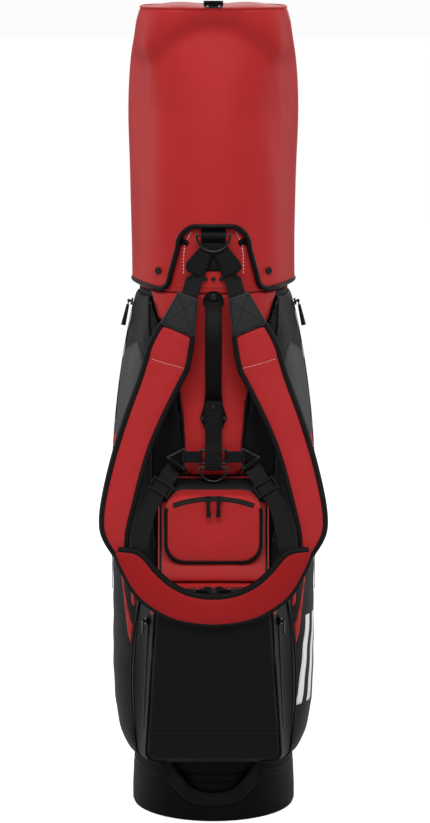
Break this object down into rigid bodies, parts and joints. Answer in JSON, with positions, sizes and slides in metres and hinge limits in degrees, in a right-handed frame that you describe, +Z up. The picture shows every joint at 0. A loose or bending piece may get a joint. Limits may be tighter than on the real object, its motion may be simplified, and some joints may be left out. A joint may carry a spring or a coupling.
{
  "type": "golf stand bag",
  "caption": "Upright golf bag with folding rear legs, padded double shoulder harness, zipped pockets, divided top cuff and lift-off rain hood.",
  "frame": {"origin": "on the ground at the centre of the round base", "axes": "+Z up along the bag, -Y towards the harness and front pockets, +Y towards the folding legs, +X to the right when facing the harness"},
  "size_m": [0.349, 0.3899, 1.2892],
  "materials": {
    "red_leatherette": "smooth synthetic leather, semi-matte",
    "black_leatherette": "smooth synthetic leather",
    "black_fabric": "coated nylon",
    "black_webbing": "ribbed polypropylene webbing",
    "pad_fabric": "padded air mesh",
    "zip_tape": "woven tape with coil teeth",
    "black_moulding": "moulded, fine texture",
    "black_steel": "semi-gloss black",
    "leg_tube": "black anodised",
    "chrome_trim": "polished",
    "spring_wire": "drawn wire",
    "black_rubber": "matte",
    "grey_lining": "lining cloth"
  },
  "bodies": {
    "bag": {"base_boot": "black_moulding", "hinge_pins": "spring_wire", "rod_guides": "black_moulding", "leg_bracket": "black_moulding", "body_shell": "black_fabric", "frame_stays": "leg_tube", "top_cuff": "red_leatherette", "divider_grid": "grey_lining", "well_dividers": "grey_lining", "spine_panel": "red_leatherette", "right_side_pocket": "black_leatherette", "left_side_pocket": "black_leatherette", "mid_pocket": "red_leatherette", "valuables_pocket": "red_leatherette", "ball_pocket": "black_leatherette", "carry_handle": "black_moulding", "handle_mounts": "black_moulding", "rivets_and_studs": "chrome_trim", "spine_strap": "black_webbing", "harness_rings": "black_steel", "cuff_ring_loop": "black_webbing", "harness_yoke": "black_leatherette", "upper_webbing": "black_webbing", "cross_patches": "black_leatherette", "right_shoulder_pad": "pad_fabric", "left_shoulder_pad": "pad_fabric", "cross_band": "pad_fabric", "side_webbing": "black_webbing", "lower_webbing": "black_webbing", "zip_tapes": "zip_tape"},
    "hood": {"hood_shell": "red_leatherette", "hood_hem": "black_leatherette", "hood_snaps": "black_steel", "hood_top_tab": "black_webbing", "hood_buckle": "black_moulding"},
    "left_leg": {"left_leg_knuckle": "black_moulding", "left_leg_tube": "leg_tube", "left_leg_foot": "black_rubber"},
    "right_leg": {"right_leg_knuckle": "black_moulding", "right_leg_tube": "leg_tube", "right_leg_foot": "black_rubber"},
    "actuator": {"actuator_rod": "spring_wire"},
    "kick_plate": {"kick_plate": "black_moulding"},
    "cuff_d_ring": {"cuff_d_ring": "black_steel"},
    "spine_d_ring": {"spine_d_ring": "black_steel"},
    "grab_handle": {"grab_handle": "black_webbing"},
    "left_triglide": {"left_triglide": "black_moulding"},
    "right_triglide": {"right_triglide": "black_moulding"},
    "left_valuables_slider": {"left_valuables_slider": "black_steel"},
    "left_valuables_pull": {"left_valuables_pull": "black_rubber"},
    "left_side_slider": {"left_side_slider": "black_steel"},
    "left_side_pull": {"left_side_pull": "black_rubber"},
    "left_gusset_slider": {"left_gusset_slider": "black_steel"},
    "left_ball_slider": {"left_ball_slider": "black_steel"},
    "right_valuables_slider": {"right_valuables_slider": "black_steel"},
    "right_valuables_pull": {"right_valuables_pull": "black_rubber"},
    "right_side_slider": {"right_side_slider": "black_steel"},
    "right_side_pull": {"right_side_pull": "black_rubber"},
    "right_gusset_slider": {"right_gusset_slider": "black_steel"},
    "right_ball_slider": {"right_ball_slider": "black_steel"}
  },
  "joints": [
    {"name": "hood_lift", "type": "slide", "parent": "bag", "child": "hood", "axis": [0, 0, 1], "range_m": [0, 0.3]},
    {"name": "left_leg_swing", "type": "hinge", "parent": "bag", "child": "left_leg", "pos_m": [-0.066, 0.128, 0.8], "axis": [0.9063, 0.4226, 0], "range_deg": [0, 35], "stiffness_Nm_per_rad": 0.35},
    {"name": "right_leg_swing", "type": "hinge", "parent": "bag", "child": "right_leg", "pos_m": [0.066, 0.128, 0.8], "axis": [0.9063, -0.4226, 0], "range_deg": [0, 35]},
    {"name": "actuator_slide", "type": "slide", "parent": "bag", "child": "actuator", "axis": [0, 0, 1], "range_m": [0, 0.0134]},
    {"name": "kick_plate_tilt", "type": "hinge", "parent": "bag", "child": "kick_plate", "pos_m": [0, 0.0445, 0.006], "axis": [1, 0, 0], "range_deg": [0, 20]},
    {"name": "cuff_d_ring_swing", "type": "hinge", "parent": "bag", "child": "cuff_d_ring", "pos_m": [0, -0.1343, 0.9345], "axis": [-1, 0, 0], "range_deg": [0, 120]},
    {"name": "spine_d_ring_swing", "type": "hinge", "parent": "bag", "child": "spine_d_ring", "pos_m": [0, -0.14, 0.5735], "axis": [-1, 0, 0], "range_deg": [0, 90]},
    {"name": "grab_handle_swing", "type": "hinge", "parent": "bag", "child": "grab_handle", "pos_m": [0, -0.1185, 0.1048], "axis": [-1, 0, 0], "range_deg": [0, 60]},
    {"name": "left_triglide_slide", "type": "slide", "parent": "bag", "child": "left_triglide", "axis": [-0.5282, -0.3893, -0.7546], "range_m": [-0.008, 0.012]},
    {"name": "right_triglide_slide", "type": "slide", "parent": "bag", "child": "right_triglide", "axis": [0.5282, -0.3893, -0.7546], "range_m": [-0.008, 0.012]},
    {"name": "left_valuables_zip", "type": "hinge", "parent": "bag", "child": "left_valuables_slider", "pos_m": [0, -0.2017, 0.356], "axis": [0, -1, 0], "range_deg": [0, 15]},
    {"name": "left_valuables_pull_swing", "type": "hinge", "parent": "left_valuables_slider", "child": "left_valuables_pull", "pos_m": [-0.0085, -0.2017, 0.5348], "axis": [-0.9989, 0, -0.0475], "range_deg": [0, 150]},
    {"name": "right_valuables_zip", "type": "hinge", "parent": "bag", "child": "right_valuables_slider", "pos_m": [0, -0.2017, 0.356], "axis": [0, 1, 0], "range_deg": [0, 15]},
    {"name": "right_valuables_pull_swing", "type": "hinge", "parent": "right_valuables_slider", "child": "right_valuables_pull", "pos_m": [0.0085, -0.2017, 0.5348], "axis": [-0.9989, 0, 0.0475], "range_deg": [0, 150]},
    {"name": "left_side_zip", "type": "hinge", "parent": "bag", "child": "left_side_slider", "pos_m": [1.2535, -0.01, 0.5], "axis": [0, -1, 0], "range_deg": [0, 12]},
    {"name": "left_side_pull_swing", "type": "hinge", "parent": "left_side_slider", "child": "left_side_pull", "pos_m": [-0.13385, -0.01, 0.81785], "axis": [0, 1, 0], "range_deg": [0, 110]},
    {"name": "right_side_zip", "type": "hinge", "parent": "bag", "child": "right_side_slider", "pos_m": [-1.2535, -0.01, 0.5], "axis": [0, 1, 0], "range_deg": [0, 12]},
    {"name": "right_side_pull_swing", "type": "hinge", "parent": "right_side_slider", "child": "right_side_pull", "pos_m": [0.13385, -0.01, 0.81785], "axis": [0, -1, 0], "range_deg": [0, 110]},
    {"name": "left_gusset_zip", "type": "slide", "parent": "bag", "child": "left_gusset_slider", "axis": [-0.0451, 0, -0.999], "range_m": [0, 0.14]},
    {"name": "right_gusset_zip", "type": "slide", "parent": "bag", "child": "right_gusset_slider", "axis": [0.0451, 0, -0.999], "range_m": [0, 0.14]},
    {"name": "left_ball_zip", "type": "slide", "parent": "bag", "child": "left_ball_slider", "axis": [-1, 0, 0], "range_m": [0, 0.045]},
    {"name": "right_ball_zip", "type": "slide", "parent": "bag", "child": "right_ball_slider", "axis": [1, 0, 0], "range_m": [0, 0.045]}
  ],
  "couplings": [
    {"joint": "right_leg_swing", "follows": "left_leg_swing", "ratio": 1},
    {"joint": "actuator_slide", "follows": "left_leg_swing", "m_per_rad": 0.0219},
    {"joint": "kick_plate_tilt", "follows": "left_leg_swing", "ratio": 0.571}
  ]
}
